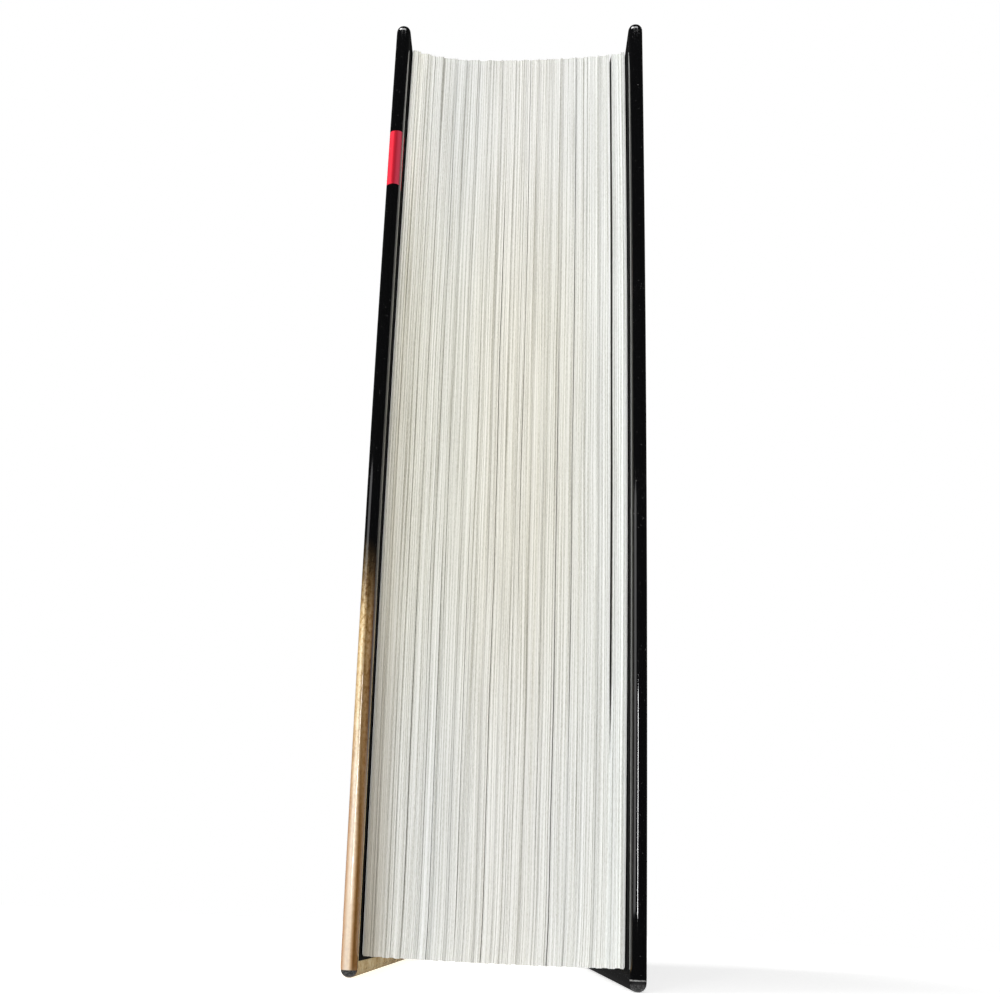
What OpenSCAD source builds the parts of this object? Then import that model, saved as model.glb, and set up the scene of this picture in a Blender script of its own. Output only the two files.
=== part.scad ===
// A thick case-bound book, standing closed on its tail edge.
// The fore-edge faces -Y, the front cover is at -X and the head is up.
// The covers are flat boards in a glossy printed covering that turns in over their edges.
// The leaves are one solid: it is rounded at the spine, hollow at the fore-edge, and it
// swells a little between the covers at half height.

/* [Leaves] */
// Height of a leaf, tail to head
leaf_height = 235; // [150:1:330]
// Width of the first leaf, spine to fore-edge
leaf_width = 190; // [100:1:250]
// Thickness of all the leaves at the head and tail of the fore-edge
leaves_thickness = 56.7; // [25:0.1:75]
// How far each side swells at half height of the fore-edge
swell = 0.7; // [0:0.05:1.5]
// Depth of the round in the spine, and of the hollow in the fore-edge
round_depth = 3.9; // [1:0.1:6]
// Where the hollow is deepest, as a share of the way from front to back
hollow_peak = 0.3; // [0.2:0.05:0.8]
// How much further in the last leaf ends than the first one
lean = 2; // [0:0.1:3]
// How far the leaves sag halfway between the covers
sag = 0.4; // [0:0.05:0.8]
// How far the leaves flare out to a shoulder at the spine
shoulder = 0.9; // [0.3:0.05:1.2]
// Length of the flare along the side
shoulder_length = 8; // [4:0.5:15]
// Number of bundles of leaves that stand out from each other at the edges
bundles = 46; // [16:2:70]
// Highest step between two bundles
bundle_step = 0.35; // [0.1:0.05:0.6]
// Where a parting between two bundles stands open, as a share from front to back
parting_place = 0.93; // [0.6:0.01:0.96]
// Width of that parting
parting_width = 0.4; // [0.2:0.1:0.8]
// Depth of that parting
parting_depth = 3; // [1:0.5:6]

/* [Covers] */
// Thickness of the board in each cover
board_thickness = 3.1; // [1.5:0.1:4]
// How far each cover bows out at half height, over the swell of the leaves
bow = 0.55; // [0:0.05:1]
// Thickness of the printed covering
covering = 0.25; // [0.15:0.05:0.4]
// How far the covers stand out past the first leaf at the fore-edge
square_fore = 4.5; // [2.5:0.1:7]
// How far the covers stand out past the leaves at the head
square_head = 4.6; // [2.5:0.1:7]
// How far the covers stand out past the leaves at the tail
square_tail = 4.4; // [2.5:0.1:7]
// How far the covers' round edges reach in, as a share of half their thickness
edge_share = 0.9; // [0.4:0.05:1]
// Round of each cover's outer edge beside the groove
groove_round = 0.6; // [0.3:0.1:1]
// Round of the covers' corners at the fore-edge
corner_round = 2.6; // [2:0.1:5]
// Width of the covering that is turned in over an edge
turn_in = 15; // [8:0.5:20]
// Width of the groove between a cover and the spine
groove = 7.5; // [5:0.5:10]

/* [Endpapers] */
// Thickness of a pastedown
pastedown = 0.2; // [0.1:0.05:0.3]
// Thickness of a flyleaf
flyleaf = 0.15; // [0.1:0.05:0.3]
// Width of the turned-in covering that a pastedown leaves bare
pastedown_margin = 3.5; // [2:0.5:6]
// Gap between a flyleaf and its pastedown, where the leaves swell most
side_gap = 0.2; // [0.1:0.05:0.4]

/* [Spine] */
// Thickness of the curved card inlay in the spine of the case
inlay = 1.6; // [0.8:0.1:2.5]
// Thickness of the glue on the back of the leaves
glue = 0.05; // [0.02:0.01:0.2]
// Thickness of the cloth that is glued over the spine of the leaves
cloth = 0.3; // [0.15:0.05:0.5]
// Distance from the cloth's ends to the head and tail of the leaves
cloth_margin = 20; // [15:1:35]
// Width of the cloth that is glued to each board
cloth_flap = 28; // [15:1:40]
// Thickness of the paper lining over the cloth
lining = 0.25; // [0.15:0.05:0.5]
// Distance from the lining's ends to the head and tail of the leaves
lining_margin = 2; // [0.5:0.5:6]
// Width of the hollow between the lining and the spine of the case
hollow = 0.4; // [0.2:0.1:1.5]
// Round of the edges of the spine
spine_round = 1.2; // [0.5:0.1:2]
// How far the covering of the spine reaches along each side, past the shoulder
spine_lap = 1; // [0.5:0.1:3]

/* [Headbands] */
// Radius of a headband's bead
bead = 1.1; // [0.6:0.1:1.8]
// Height of the tape that holds the bead
tape_height = 12; // [6:1:14]

/* [Hidden] */

$fn = 48;
// Segments of a full circle with the large radius of the spine
spine_fn = 360;
// Segments of the round back of the leaves
back_segments = 24;
// Levels of the swelling sides, tail to head
levels = 10;
// Levels of the bowed covers, an odd number, so that their middles stand upright
bow_levels = 11;
// How blunt the tip of a cover's round edge is at the head and tail
blunt = 0.05;
// Steps round a cover's edge, up its corner and over its edge beside the groove
edge_steps = 12;
corner_steps = 6;
groove_steps = 3;
// A length that makes a cut run clear of what it cuts
past = 1;

// Powers of the hollow's curve, and of its fall on the front and back sides
hollow_power = 0.7;
hollow_front_power = 2;
hollow_back_power = 1.5;
// Turns in degrees that make the bundles uneven, by golden-section and other steps
width_turn = 137.5;
fore_turn = 222.5;
head_turn = 99.5;
tail_turn = 161.8;
// Greatest shift of a bundle's side, as a share of its width
bundle_shift = 0.35;
// Share of a bundle's step that shows at the head and tail
end_share = 0.4;

// Faces across the thickness at the head and tail, from the middle of the book out
leaves_half = leaves_thickness / 2;
inner_half = leaves_half + swell + flyleaf + side_gap - bow;
turn_in_half = inner_half + pastedown;
board_half = turn_in_half + covering;
outer_half = board_half + board_thickness + covering;

// The glued joint in the groove: covering, cloth and endpaper
shoulder_half = leaves_half + shoulder;
joint_half = shoulder_half + flyleaf + side_gap;
joint_thickness = covering + cloth + flyleaf;
spine_half = joint_half + joint_thickness;
inlay_half = spine_half - spine_round;

// Layers over the round back of the leaves, as distances from it
cloth_out = glue + cloth;
lining_out = cloth_out + lining;
turned_in = lining_out + hollow;
inlay_in = turned_in + covering;
inlay_out = inlay_in + inlay;
case_out = inlay_out + covering;
back_radius = (shoulder_half * shoulder_half + round_depth * round_depth) / (2 * round_depth);

// Places along the depth, fore-edge to spine
depth = square_fore + leaf_width + round_depth + case_out;
fore_y = -depth / 2;
shoulder_y = fore_y + square_fore + leaf_width;
back_y = shoulder_y + round_depth - back_radius;
groove_end_y = shoulder_y - spine_lap;
edge_y = groove_end_y - groove;
flap_y = edge_y - covering - cloth_flap;

// Places along the height, tail to head
tail_z = square_tail;
head_z = tail_z + leaf_height;
book_height = head_z + square_head;
low_z = tail_z - sag;

// Share of the full depth of the hollow at a share u from front to back
function hollow_share(u) =
    u < hollow_peak
        ? pow(1 - pow((hollow_peak - u) / hollow_peak, hollow_front_power), hollow_power)
        : pow(1 - pow((u - hollow_peak) / (1 - hollow_peak), hollow_back_power), hollow_power);

// Uneven shares from 0 to 1, one for each bundle
function uneven(i, turn) = 0.5 + 0.5 * sin(i * turn);

// Side of a bundle, as a share from front to back
function bundle_side(i) =
    i <= 0 ? 0
    : i >= bundles ? 1
    : (i + bundle_shift * sin(i * width_turn)) / bundles;

function bundle_middle(i) = (bundle_side(i) + bundle_side(i + 1)) / 2;

// Depth at which a bundle of leaves ends at the fore-edge
function bundle_y(i) =
    let (u = bundle_middle(i))
    fore_y + square_fore + lean * u + round_depth * hollow_share(u)
        + bundle_step * uneven(i, fore_turn);

// Half of the leaves' thickness at the fore-edge, at a height
function half_at(z) = leaves_half + swell * max(0, 1 - pow(2 * (z - tail_z) / leaf_height - 1, 2));

function across(u, z) = (2 * u - 1) * half_at(z);

function level_z(k) = low_z + (head_z - low_z) * k / levels;

// The unswollen end of a side, from the start of the shoulder, on the +X side
function side_back() = [
    [leaves_half, shoulder_y - shoulder_length],
    [shoulder_half, shoulder_y]
];

// The same points on the -X side, in the order that keeps an outline turning one way
function mirrored(points) = [for (i = [len(points) - 1 : -1 : 0]) [-points[i][0], points[i][1]]];

function moved(points, x) = [for (p = points) [p[0] + x, p[1]]];

// The uneven fore-edge at a height, two points for each bundle
function fore_points(z) = [for (i = [0 : bundles - 1], k = [0, 1])
    [across(bundle_side(i + k), z), bundle_y(i)]];

// The round back between the shoulders, from +X to -X
function back_points() =
    let (reach = asin(shoulder_half / back_radius))
    [for (i = [1 : back_segments - 1])
        let (a = reach * (1 - 2 * i / back_segments))
        [back_radius * sin(a), back_y + back_radius * cos(a)]];

// Outline of all the leaves at a height
function leaves_ring(z) = concat(fore_points(z), side_back(), back_points(), mirrored(side_back()));

// Outline of the last flyleaf at a height: its inner points are those of the leaves' side
function flyleaf_ring(z, y) =
    let (inner = concat([[half_at(z), y]], side_back()))
    concat([inner[0]], moved(inner, flyleaf), [inner[2], inner[1]]);

// A solid through a list of rings, each one level above the last.
// flip turns the diagonals over, so that two solids can share a warped face.
module loft(rings, heights, flip = false) {
    n = len(rings[0]);
    top = len(rings) - 1;
    points = [for (k = [0 : top], p = rings[k]) [p[0], p[1], heights[k]]];
    sides = [for (k = [0 : top - 1], i = [0 : n - 1])
        let (
            a = k * n + i,
            b = k * n + (i + 1) % n,
            c = b + n,
            d = a + n
        )
        each flip ? [[a, d, b], [b, d, c]] : [[a, c, b], [a, d, c]]];
    floor_face = [for (i = [0 : n - 1]) i];
    top_face = [for (i = [n - 1 : -1 : 0]) top * n + i];
    polyhedron(points, concat([floor_face], sides, [top_face]));
}

// Uneven, sagging head and tail of the leaves, as seen from the fore-edge
module ends_outline() {
    step = bundle_step * end_share;
    wide = 2 * (leaves_half + swell + shoulder);
    columns = [for (i = [0 : bundles]) (i - 0.5) / bundles];
    head = [for (i = [0 : bundles], k = [0, 1])
        let (u = columns[i] + k / bundles, m = columns[i] + 0.5 / bundles)
        [(u - 0.5) * wide, head_z - sag * 4 * m * (1 - m) - step * uneven(i, head_turn)]];
    tail = [for (i = [bundles : -1 : 0], k = [1, 0])
        let (u = columns[i] + k / bundles, m = columns[i] + 0.5 / bundles)
        [(u - 0.5) * wide, tail_z - sag * 4 * m * (1 - m) + step * uneven(i, tail_turn)]];
    polygon(concat(head, tail));
}

// The open parting near the last leaves
module parting() {
    heights = [for (k = [0 : levels]) level_z(k) + (k == 0 ? -past : k == levels ? past : 0)];
    rings = [for (k = [0 : levels])
        let (
            x = across(parting_place, level_z(k)),
            y = fore_y + square_fore + lean * parting_place
                + round_depth * hollow_share(parting_place)
        )
        [[x, y - past - bundle_step],
         [x + parting_width, y - past - bundle_step],
         [x + parting_width, y + parting_depth],
         [x, y + parting_depth]]];
    loft(rings, heights);
}

// All the leaves of the book
module text_block() {
    color("#e6e5df")
    difference() {
        intersection() {
            loft([for (k = [0 : levels]) leaves_ring(level_z(k))], [for (k = [0 : levels]) level_z(k)]);
            rotate([90, 0, 0])
            linear_extrude(2 * depth, center = true)
                ends_outline();
        }
        parting();
    }
}

// A free endpaper leaf. It is cut a little short of the uneven head and tail.
module flyleaf_sheet(front) {
    y = bundle_y(front ? 0 : bundles - 1);
    color("#efeee9")
    intersection() {
        loft(
            [for (k = [0 : levels])
                let (ring = flyleaf_ring(level_z(k), y))
                front ? mirrored(ring) : ring],
            [for (k = [0 : levels]) level_z(k)],
            flip = true
        );
        translate([-depth, -depth, tail_z + bundle_step])
        cube([2 * depth, 2 * depth, leaf_height - 2 * bundle_step]);
    }
}

module front_flyleaf() {
    flyleaf_sheet(front = true);
}

module back_flyleaf() {
    flyleaf_sheet(front = false);
}

// The part of the plane between two circles about the middle of the round back
module band(from, to, half) {
    translate([0, back_y])
    intersection() {
        difference() {
            circle(back_radius + to, $fn = spine_fn);
            circle(back_radius + from, $fn = spine_fn);
        }
        translate([-half, 0])
        square([2 * half, 2 * back_radius]);
    }
}

// A curved sheet over the round back of the leaves
module spine_sheet(from, to, half, bottom, top) {
    translate([0, 0, bottom])
    linear_extrude(top - bottom)
        band(from, to, half);
}

// Cloth that is glued over the back of the leaves and, past the groove, to the boards
module spine_cloth() {
    color("#cfc9b8")
    spine_sheet(glue, cloth_out, shoulder_half, tail_z + cloth_margin, head_z - cloth_margin);
}

// Strong paper over the cloth
module spine_lining() {
    color("#a98f6a")
    spine_sheet(cloth_out, lining_out, shoulder_half, tail_z + lining_margin, head_z - lining_margin);
}

// A bead that closes the head of the round back, on a tape that is glued to the leaves
module band_at_head() {
    reach = asin((shoulder_half - bead) / back_radius);
    color("#d9d3c3") {
        translate([0, back_y, head_z + bead])
        rotate([0, 0, 90 - reach])
        rotate_extrude(angle = 2 * reach, $fn = spine_fn)
        translate([back_radius + cloth_out - bead, 0])
            circle(bead);
        spine_sheet(glue, cloth_out, shoulder_half - bead, head_z - tape_height, head_z + bead);
    }
}

module head_band() {
    band_at_head();
}

// The same at the tail, under the lowest of the sagging leaves
module tail_band() {
    translate([0, 0, head_z + low_z])
    mirror([0, 0, 1])
        band_at_head();
}

// Outline of the spine of the case, less an inset, running clear past the groove's end
module spine_outline(inset) {
    translate([0, back_y])
    offset(r = spine_round - inset)
    offset(delta = -spine_round)
    intersection() {
        circle(back_radius + case_out, $fn = spine_fn);
        translate([-spine_half, groove_end_y - back_y - joint_thickness - spine_round])
        square([2 * spine_half, depth]);
    }
}

// Keeps what lies behind the groove's end
module behind_groove() {
    intersection() {
        children();
        translate([-depth, groove_end_y])
        square([2 * depth, depth]);
    }
}

// Curved card that stiffens the spine of the case
module spine_inlay() {
    color("#8a7c66")
    translate([0, 0, covering])
    linear_extrude(book_height - 2 * covering)
    intersection() {
        spine_outline(covering);
        band(inlay_in, case_out, inlay_half);
    }
}

// Printed covering over the spine: it wraps the card and turns in at head and tail
module spine_covering() {
    color("#101011") {
        linear_extrude(book_height)
        behind_groove()
        difference() {
            spine_outline(0);
            spine_outline(covering);
        }
        for (z = [0, book_height - covering])
        translate([0, 0, z])
        linear_extrude(covering)
        intersection() {
            spine_outline(0);
            band(turned_in, case_out, spine_half);
        }
        for (z = [0, book_height - turn_in])
        spine_sheet(turned_in, inlay_in, inlay_half, z, z + turn_in);
    }
}

// Covering, cloth and endpaper, glued together in the groove as one flexible strip.
// The cover turns about a line that stands a little outside it.
module joint_strip() {
    color("#161617")
    translate([joint_half, edge_y, 0])
    cube([joint_thickness, groove, book_height]);
}

module front_joint() {
    mirror([1, 0, 0]) joint_strip();
}

module back_joint() {
    joint_strip();
}

// How far a cover is bowed out at a height, in straight steps
bow_table = [for (k = [0 : bow_levels])
    [book_height * k / bow_levels, bow * (1 - pow(2 * k / bow_levels - 1, 2))]];

function bow_at(z) = lookup(z, bow_table);

// The heights between two others at which a bowed face bends, with the two themselves
function bow_heights(from, to) =
    concat([from], [for (b = bow_table) if (b[0] > from && b[0] < to) b[0]], [to]);

// A bowed sheet on the +X side, from x[0] to x[1] where it stands at the head and tail
module bowed_sheet(x, y, z) {
    heights = bow_heights(z[0], z[1]);
    rings = [for (h = heights)
        let (b = bow_at(h))
        [[x[0] + b, y[0]], [x[1] + b, y[0]], [x[1] + b, y[1]], [x[0] + b, y[1]]]];
    loft(rings, heights);
}

// How far a round edge draws a cover's outline in, at t from the middle of its thickness
function drawn_in(t, half, round) = round * (1 - sqrt(max(0, 1 - pow(t / half, 2))));

// Half the thickness that a round edge leaves, at a distance in from the edge
function left_half(from_end, half, round) =
    half * sqrt(1 - pow(max(0, round - from_end) / round, 2));

// Outline of a covered board on the +X side at a height, less an inset all round
function cover_ring(z, inset) =
    let (
        full = (outer_half - turn_in_half) / 2,
        half = full - inset,
        round = full * edge_share - inset,
        corner = max(corner_round, full * edge_share) - inset,
        from_end = blunt + min(z - inset, book_height - inset - z),
        reach = left_half(from_end, half, round),
        rise = max(0, corner - from_end),
        lap = min(max(groove_round - inset, 0), reach),
        middle = (outer_half + turn_in_half) / 2 + bow_at(z),
        end_y = edge_y - inset
    )
    concat(
        [for (j = [0 : edge_steps])
            let (
                share = reach / half,
                even = 2 * j / edge_steps - 1,
                t = reach * (even - share * (even + cos(180 * j / edge_steps))),
                part = corner - drawn_in(t, half, round)
            )
            [middle + t, fore_y + inset + corner - sqrt(max(0, part * part - rise * rise))]],
        [for (j = [0 : groove_steps])
            let (a = 90 * j / groove_steps)
            [middle + reach - lap + lap * cos(a), end_y - lap + lap * sin(a)]],
        [[middle - reach, end_y]]
    );

// A covered board on the +X side, less an inset all round
module cover_form(inset) {
    corner = max(corner_round, (outer_half - turn_in_half) / 2 * edge_share) - inset;
    rises = [for (k = [0 : corner_steps]) corner * (1 - cos(90 * k / corner_steps))];
    heights = concat(
        [for (r = rises) inset + r],
        [for (b = bow_table) if (b[0] > corner_round && b[0] < book_height - corner_round) b[0]],
        [for (k = [corner_steps : -1 : 0]) book_height - inset - rises[k]]
    );
    loft([for (h = heights) cover_ring(h, inset)], heights);
}

module board() {
    color("#9b9284")
        cover_form(covering);
}

// The opening between the turned-in edges of the covering
module turn_in_window() {
    window_sheet(turn_in_half - past, board_half + covering / 2);
}

// A bowed sheet that fills that opening
module window_sheet(from, to) {
    bowed_sheet(
        [from, to],
        [fore_y + turn_in, edge_y - covering],
        [turn_in, book_height - turn_in]
    );
}

// Glossy printed covering, wrapped over the board's edges
module cover_covering() {
    color("#101011")
    difference() {
        cover_form(0);
        cover_form(covering);
        turn_in_window();
    }
}

// The end of the spine's cloth that is glued to the board. As a cut, it runs on into the board.
module cloth_flap_sheet(run_on = 0) {
    color("#cfc9b8")
    bowed_sheet(
        [turn_in_half, board_half + run_on],
        [flap_y, flap_y + cloth_flap + run_on],
        [tail_z + cloth_margin, head_z - cloth_margin]
    );
}

// Endpaper glued over the board, the turned-in edges and the cloth, which show through it
module pastedown_sheet() {
    rise = turn_in + pastedown;
    color("#efeee9")
    difference() {
        union() {
            bowed_sheet(
                [inner_half, turn_in_half],
                [fore_y + pastedown_margin, edge_y],
                [pastedown_margin, book_height - pastedown_margin]
            );
            difference() {
                window_sheet(inner_half + pastedown / 2, board_half);
                cloth_flap_sheet(run_on = past);
            }
        }
        bowed_sheet(
            [inner_half - past, inner_half + covering],
            [fore_y + rise, flap_y - pastedown],
            [rise, book_height - rise]
        );
    }
}

module front_board() {
    mirror([1, 0, 0]) board();
}

module front_covering() {
    mirror([1, 0, 0]) cover_covering();
}

module front_cloth_flap() {
    mirror([1, 0, 0]) cloth_flap_sheet();
}

module front_pastedown() {
    mirror([1, 0, 0]) pastedown_sheet();
}

module back_board() {
    board();
}

module back_covering() {
    cover_covering();
}

module back_cloth_flap() {
    cloth_flap_sheet();
}

module back_pastedown() {
    pastedown_sheet();
}

text_block();
front_flyleaf();
back_flyleaf();
spine_cloth();
spine_lining();
head_band();
tail_band();
spine_inlay();
spine_covering();
front_joint();
back_joint();
front_board();
front_covering();
front_cloth_flap();
front_pastedown();
back_board();
back_covering();
back_cloth_flap();
back_pastedown();
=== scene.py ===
"""The looks of a thick case-bound book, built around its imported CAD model.

The leaves are a finer mesh of the same form as their solid, with every few leaves standing out
from their neighbours. The covers keep their solids and get a glossy laminated print of plain
fields. Lengths in the constants are millimetres unless a comment says metres, and the scene
itself is in metres.
"""

import bmesh
import bpy
import numpy as np
from mathutils import Euler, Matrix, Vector


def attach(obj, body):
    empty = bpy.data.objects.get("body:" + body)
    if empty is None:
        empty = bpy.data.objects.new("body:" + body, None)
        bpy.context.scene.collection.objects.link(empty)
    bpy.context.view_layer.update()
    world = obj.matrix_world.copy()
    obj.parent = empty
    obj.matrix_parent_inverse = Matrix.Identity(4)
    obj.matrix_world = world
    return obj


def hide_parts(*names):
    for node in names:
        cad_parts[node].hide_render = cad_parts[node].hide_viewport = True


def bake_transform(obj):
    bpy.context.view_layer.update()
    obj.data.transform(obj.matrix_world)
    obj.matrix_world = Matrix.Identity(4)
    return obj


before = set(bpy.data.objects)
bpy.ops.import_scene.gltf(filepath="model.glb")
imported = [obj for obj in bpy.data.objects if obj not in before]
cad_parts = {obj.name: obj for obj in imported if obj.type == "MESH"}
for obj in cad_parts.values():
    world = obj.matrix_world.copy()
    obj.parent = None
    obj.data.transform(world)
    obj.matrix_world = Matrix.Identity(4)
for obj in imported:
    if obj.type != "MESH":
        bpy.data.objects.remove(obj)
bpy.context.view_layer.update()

MM = 0.001
ROOT = "leaves_and_spine"

# The same values as in the model of the solids.
LEAF_HEIGHT = 235.0
LEAVES_HALF = 28.35
SWELL = 0.7
ROUND_DEPTH = 3.9
HOLLOW_PEAK = 0.3
HOLLOW_POWER = 0.7
HOLLOW_FRONT_POWER = 2.0
HOLLOW_BACK_POWER = 1.5
LEAN = 2.0
SAG = 0.4
SHOULDER_LENGTH = 8.0
BUNDLES = 46
BUNDLE_STEP = 0.35
BUNDLE_SHIFT = 0.35
END_SHARE = 0.4
WIDTH_TURN = 137.5
FORE_TURN = 222.5
HEAD_TURN = 99.5
TAIL_TURN = 161.8
PARTING_PLACE = 0.93
PARTING_DEPTH = 3.0
SHOULDER_HALF = 29.25
FORE_Y = -100.75
SQUARE_FORE = 4.5
SHOULDER_Y = 93.75
GROOVE_START_Y = 85.25
GROOVE_END_Y = 92.75
JOINT_IN = 29.6
JOINT_OUT = 30.3
TAIL_Z = 4.4
HEAD_Z = 239.4
BOOK_HEIGHT = 244.0
BACK_RADIUS = (SHOULDER_HALF**2 + ROUND_DEPTH**2) / (2 * ROUND_DEPTH)
BACK_CENTRE_Y = SHOULDER_Y + ROUND_DEPTH - BACK_RADIUS

# The photograph's camera.
CAMERA_PLACE = (2.28, -375.61, 12.32)
CAMERA_TURN = (105.970, -2.619, 3.771)
CAMERA_LENS = 44.223
CAMERA_SENSOR = 36.0
CAMERA_NEAR = 10.0
CAMERA_SHIFT = (0.08, 0.07)


def add(tree, kind, sockets=None, **settings):
    """A new node. sockets maps a socket's name or number to a value or to another socket."""
    node = tree.nodes.new(kind)
    for name, value in settings.items():
        setattr(node, name, value)
    for key, value in (sockets or {}).items():
        if isinstance(value, bpy.types.NodeSocket):
            tree.links.new(value, node.inputs[key])
        else:
            node.inputs[key].default_value = value
    return node


def calc(tree, operation, first, second=0.0, third=0.0):
    """The result of a Math node."""
    sockets = {0: first, 1: second, 2: third}
    return add(tree, "ShaderNodeMath", sockets, operation=operation).outputs[0]


def product(tree, first, *others):
    """Several values multiplied."""
    for other in others:
        first = calc(tree, "MULTIPLY", first, other)
    return first


def mix(tree, factor, first, second, blend="MIX"):
    """Two colours mixed."""
    sockets = {0: factor, 6: first, 7: second}
    node = add(tree, "ShaderNodeMix", sockets, data_type="RGBA", blend_type=blend)
    return node.outputs[2]


def fade(tree, value, low, high, start=0.0, end=1.0, smooth=True):
    """A change from start to end as value goes from low to high."""
    sockets = {0: value, 1: low, 2: high, 3: start, 4: end}
    kind = "SMOOTHSTEP" if smooth else "LINEAR"
    return add(tree, "ShaderNodeMapRange", sockets, interpolation_type=kind).outputs[0]


def noise(tree, vector, scale, detail=2.0, roughness=0.5):
    """The value of a Noise Texture."""
    sockets = {"Vector": vector, "Scale": scale, "Detail": detail, "Roughness": roughness}
    return add(tree, "ShaderNodeTexNoise", sockets).outputs[0]


def stretched(tree, vector, scale):
    """A vector scaled along each axis, to draw a texture out."""
    sockets = {0: vector, 1: scale}
    return add(tree, "ShaderNodeVectorMath", sockets, operation="MULTIPLY").outputs[0]


def ramp(tree, factor, stops):
    """A colour ramp through (place, colour) stops."""
    node = add(tree, "ShaderNodeValToRGB", {0: factor})
    elements = node.color_ramp.elements
    while len(elements) < len(stops):
        elements.new(0.5)
    for element, (place, colour) in zip(elements, stops):
        element.position = place
        element.color = (*colour, 1.0)
    return node.outputs[0]


def bump(tree, height, strength, distance, normal=None):
    """A Bump node's normal. distance is in millimetres."""
    sockets = {"Strength": strength, "Distance": distance * MM, "Height": height}
    if normal is not None:
        sockets["Normal"] = normal
    return add(tree, "ShaderNodeBump", sockets).outputs[0]


def new_material(name):
    """A material with an empty tree, its output and its main shader."""
    material = bpy.data.materials.new(name)
    material.use_nodes = True
    tree = material.node_tree
    tree.nodes.clear()
    output = tree.nodes.new("ShaderNodeOutputMaterial")
    shader = tree.nodes.new("ShaderNodeBsdfPrincipled")
    tree.links.new(shader.outputs[0], output.inputs[0])
    return material, tree, shader


def connect(tree, shader, **sockets):
    """Sets or links the main shader's sockets. An underscore in a name stands for a space."""
    for name, value in sockets.items():
        socket = shader.inputs[name.replace("_", " ")]
        if isinstance(value, bpy.types.NodeSocket):
            tree.links.new(value, socket)
        else:
            socket.default_value = value


def place_socket(tree):
    """The place on a solid, in metres, which stays with the solid as it moves."""
    return add(tree, "ShaderNodeTexCoord").outputs["Object"]


def split(tree, vector):
    """The three parts of a vector."""
    return add(tree, "ShaderNodeSeparateXYZ", {0: vector}).outputs


# Streaks on the leaves' edges, from fine to broad: scale across and along, detail, roughness
# and weight.
STREAKS = [
    ((2.6, 0.02, 1.0), 2.0, 0.7, 0.75),
    ((1.3, 0.01, 1.0), 1.0, 0.5, 0.16),
    ((0.3, 0.006, 1.0), 1.0, 0.5, 0.12),
]
# Where the streaks grow calmer, near the tail, the head and the back cover: two places, and the
# strength at each.
CALM_TAIL = (20.0, 95.0, 0.45, 1.0)
CALM_HEAD = (165.0, 225.0, 1.0, 0.7)
CALM_BACK = (0.72, 0.85, 1.0, 0.7)
# Thin lines between the leaves: distance apart, and how roughly and how far they stray.
LINE_PITCH = 0.62
LINE_ROUGH = 0.5
LINE_WANDER = 4.0
LINE_WEIGHT = 0.14
FIBRE_SCALE = (3.8, 0.9, 1.0)
FIBRE_WEIGHT = 0.45
# The ramp's place of an edge with no streak on it.
PLAIN_EDGE = 0.325
EDGE_RAMP = [
    (0.0, (0.20, 0.19, 0.17)),
    (0.3, (0.52, 0.51, 0.47)),
    (0.5, (0.70, 0.70, 0.675)),
    (0.7, (0.80, 0.80, 0.785)),
    (1.0, (0.90, 0.90, 0.895)),
]
# Tint of the leaves from the front cover to the back cover. The lift beside the front cover is
# painted light, against the cover's shadow.
LEAF_TINTS_AND_PAINTED_LIGHT = [
    (0.0, (1.04, 1.03, 0.99)),
    (0.08, (1.0, 1.0, 0.975)),
    (0.24, (0.945, 0.955, 0.95)),
    (0.45, (0.95, 0.945, 0.925)),
    (0.62, (0.94, 0.935, 0.915)),
    (0.76, (0.955, 0.96, 0.955)),
    (0.925, (1.01, 1.02, 1.01)),
    (0.935, (1.10, 1.12, 1.12)),
]
# Yellowed leaves: their tint, and the fades that bound them, by height and from front to back.
AGED = (1.0, 0.985, 0.93, 1.0)
AGED_LOW = (30.0, 110.0, 0.0, 1.0)
AGED_HIGH = (150.0, 225.0, 1.0, 0.0)
AGED_BACK = (0.72, 0.92, 1.0, 0.1)
# Beside the front cover the leaves are lit towards the head and shaded towards the tail.
NEAR_FRONT = (0.0, 0.13, 1.0, 0.0)
LIT = (1.2, 1.2, 1.19, 1.0)
LIT_HIGH = (150.0, 225.0, 0.0, 1.0)
SHADED = (0.30, 0.26, 0.19, 1.0)
SHADED_LOW = (-40.0, 180.0, 0.75, 0.0)


def leaf_streaks(tree, strip, along, share):
    """Light and dark streaks around zero, and the finest of them by itself."""
    value = -sum(streak[-1] for streak in STREAKS) / 2
    layers = []
    for scale, detail, roughness, weight in STREAKS:
        layer = noise(tree, stretched(tree, strip, scale), 1.0, detail, roughness)
        value = calc(tree, "MULTIPLY_ADD", layer, weight, value)
        layers.append(layer)
    near_tail = fade(tree, along, *CALM_TAIL)
    near_head = fade(tree, along, *CALM_HEAD)
    near_back = fade(tree, share, *CALM_BACK)
    return product(tree, value, near_tail, near_head, near_back), layers[0]


def thin_lines(tree, strip, across):
    """Thin lines along the leaves, from -1 to 1, which stray a little."""
    rough = noise(tree, stretched(tree, strip, (1.0, 1.5, 1.0)), 1.0, 3.0, 0.8)
    wander = noise(tree, stretched(tree, strip, (0.45, 0.005, 1.0)), 1.0, 2.0, 0.6)
    turns = calc(tree, "DIVIDE", across, LINE_PITCH)
    turns = calc(tree, "MULTIPLY_ADD", rough, LINE_ROUGH, turns)
    turns = calc(tree, "MULTIPLY_ADD", wander, LINE_WANDER, turns)
    return calc(tree, "SINE", calc(tree, "MULTIPLY", turns, 2 * np.pi))


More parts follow.
